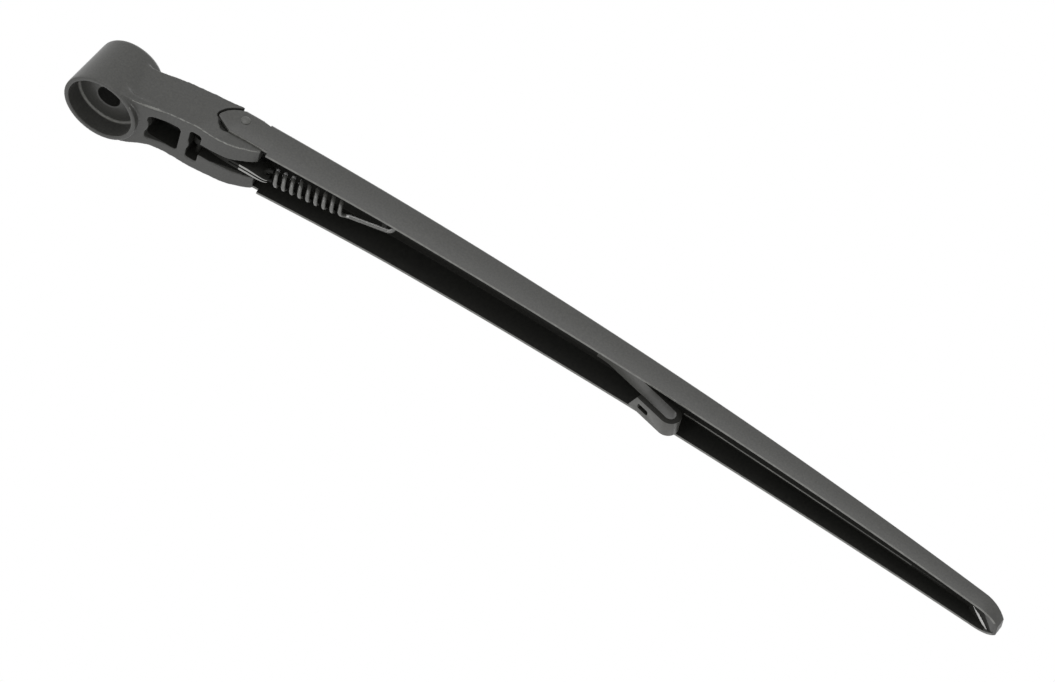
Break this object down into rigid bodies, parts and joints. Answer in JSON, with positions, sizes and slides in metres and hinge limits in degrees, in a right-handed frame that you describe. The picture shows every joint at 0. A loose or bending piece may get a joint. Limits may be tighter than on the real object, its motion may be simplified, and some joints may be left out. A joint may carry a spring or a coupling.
{
  "type": "windscreen wiper arm",
  "caption": "Wiper arm: cast mounting head with spindle cup, hinged sheet-steel channel arm with tapered tip, tension spring on a link, and a hook strip for the blade.",
  "frame": {"origin": "on the axis of the spindle bore, at the floor of the cup under the hub", "axes": "+X along the arm towards its tip, +Z along the spindle axis away from the glass, +Y across the arm"},
  "size_m": [0.4699, 0.0356, 0.0301],
  "materials": {
    "cast_paint": "satin black paint on a zinc die casting, fine orange peel",
    "channel_paint": "satin black powder paint on sheet steel",
    "rivet_paint": "satin black paint",
    "pin_steel": "dark oiled steel",
    "link_steel": "dark oiled steel",
    "spring_steel": "drawn spring wire with a grey coating",
    "strap_paint": "satin black paint on strip steel"
  },
  "bodies": {
    "head": {"mounting_head": "cast_paint", "link_pin": "pin_steel"},
    "arm": {"arm_channel": "channel_paint", "hinge_rivet": "rivet_paint", "hook_strap": "strap_paint"},
    "link": {"spring_link": "link_steel", "tension_spring": "spring_steel"}
  },
  "joints": [
    {"name": "arm_lift", "type": "hinge", "parent": "head", "child": "arm", "pos_m": [0.0577, 0, 0.0144], "axis": [0, -1, 0], "range_deg": [0, 30], "stiffness_Nm_per_rad": 1.5, "springref_deg": -57.3},
    {"name": "link_swing", "type": "hinge", "parent": "head", "child": "link", "pos_m": [0.0438, 0, 0.005], "axis": [0, -1, 0], "range_deg": [0, 25]}
  ],
  "couplings": [
    {"joint": "link_swing", "follows": "arm_lift", "ratio": 0.8206}
  ]
}
